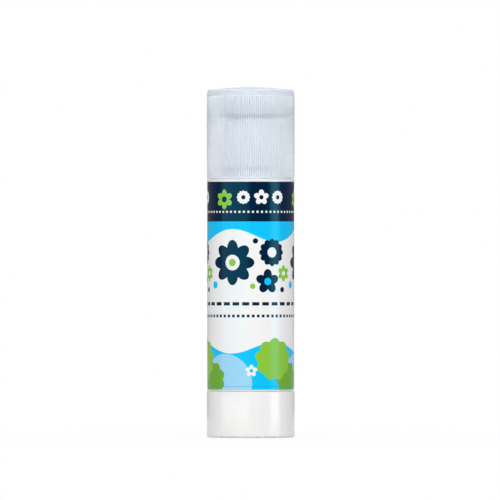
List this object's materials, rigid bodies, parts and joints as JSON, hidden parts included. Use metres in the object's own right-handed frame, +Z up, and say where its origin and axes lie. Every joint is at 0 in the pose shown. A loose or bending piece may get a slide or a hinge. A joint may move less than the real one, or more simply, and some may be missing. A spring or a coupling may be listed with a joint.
{
  "type": "glue stick",
  "caption": "Twist-up glue stick with a ribbed pull-off cap, labelled round barrel and a plain twist base that lifts the glue on a lead screw.",
  "frame": {"origin": "centre of the twist base's underside, on the surface that the stick stands on", "axes": "+Z up along the stick's axis, from base to cap; the label's front faces -Y"},
  "size_m": [0.026, 0.026, 0.1038],
  "materials": {
    "natural_plastic": "natural polypropylene, milky see-through, fine vertical ribs",
    "white_plastic": "glossy white polypropylene",
    "label_film": "printed film: navy band, cyan and white fields with plain shapes",
    "adhesive": "waxy white glue"
  },
  "bodies": {
    "barrel": {"barrel": "white_plastic", "label": "label_film"},
    "cap": {"cap": "natural_plastic"},
    "twist_base": {"twist_base": "white_plastic", "lead_screw": "white_plastic"},
    "carriage": {"carriage": "white_plastic", "glue": "adhesive"}
  },
  "joints": [
    {"name": "cap_pull", "type": "slide", "parent": "barrel", "child": "cap", "axis": [0, 0, 1], "range_m": [0, 0.04]},
    {"name": "base_turn", "type": "hinge", "parent": "barrel", "child": "twist_base", "pos_m": [0, 0, 0], "axis": [0, 0, 1], "range_deg": [0, 486]},
    {"name": "carriage_rise", "type": "slide", "parent": "barrel", "child": "carriage", "axis": [0, 0, 1], "range_m": [0, 0.0068]}
  ],
  "couplings": [
    {"joint": "carriage_rise", "follows": "base_turn", "m_per_rad": 0.00079577}
  ]
}
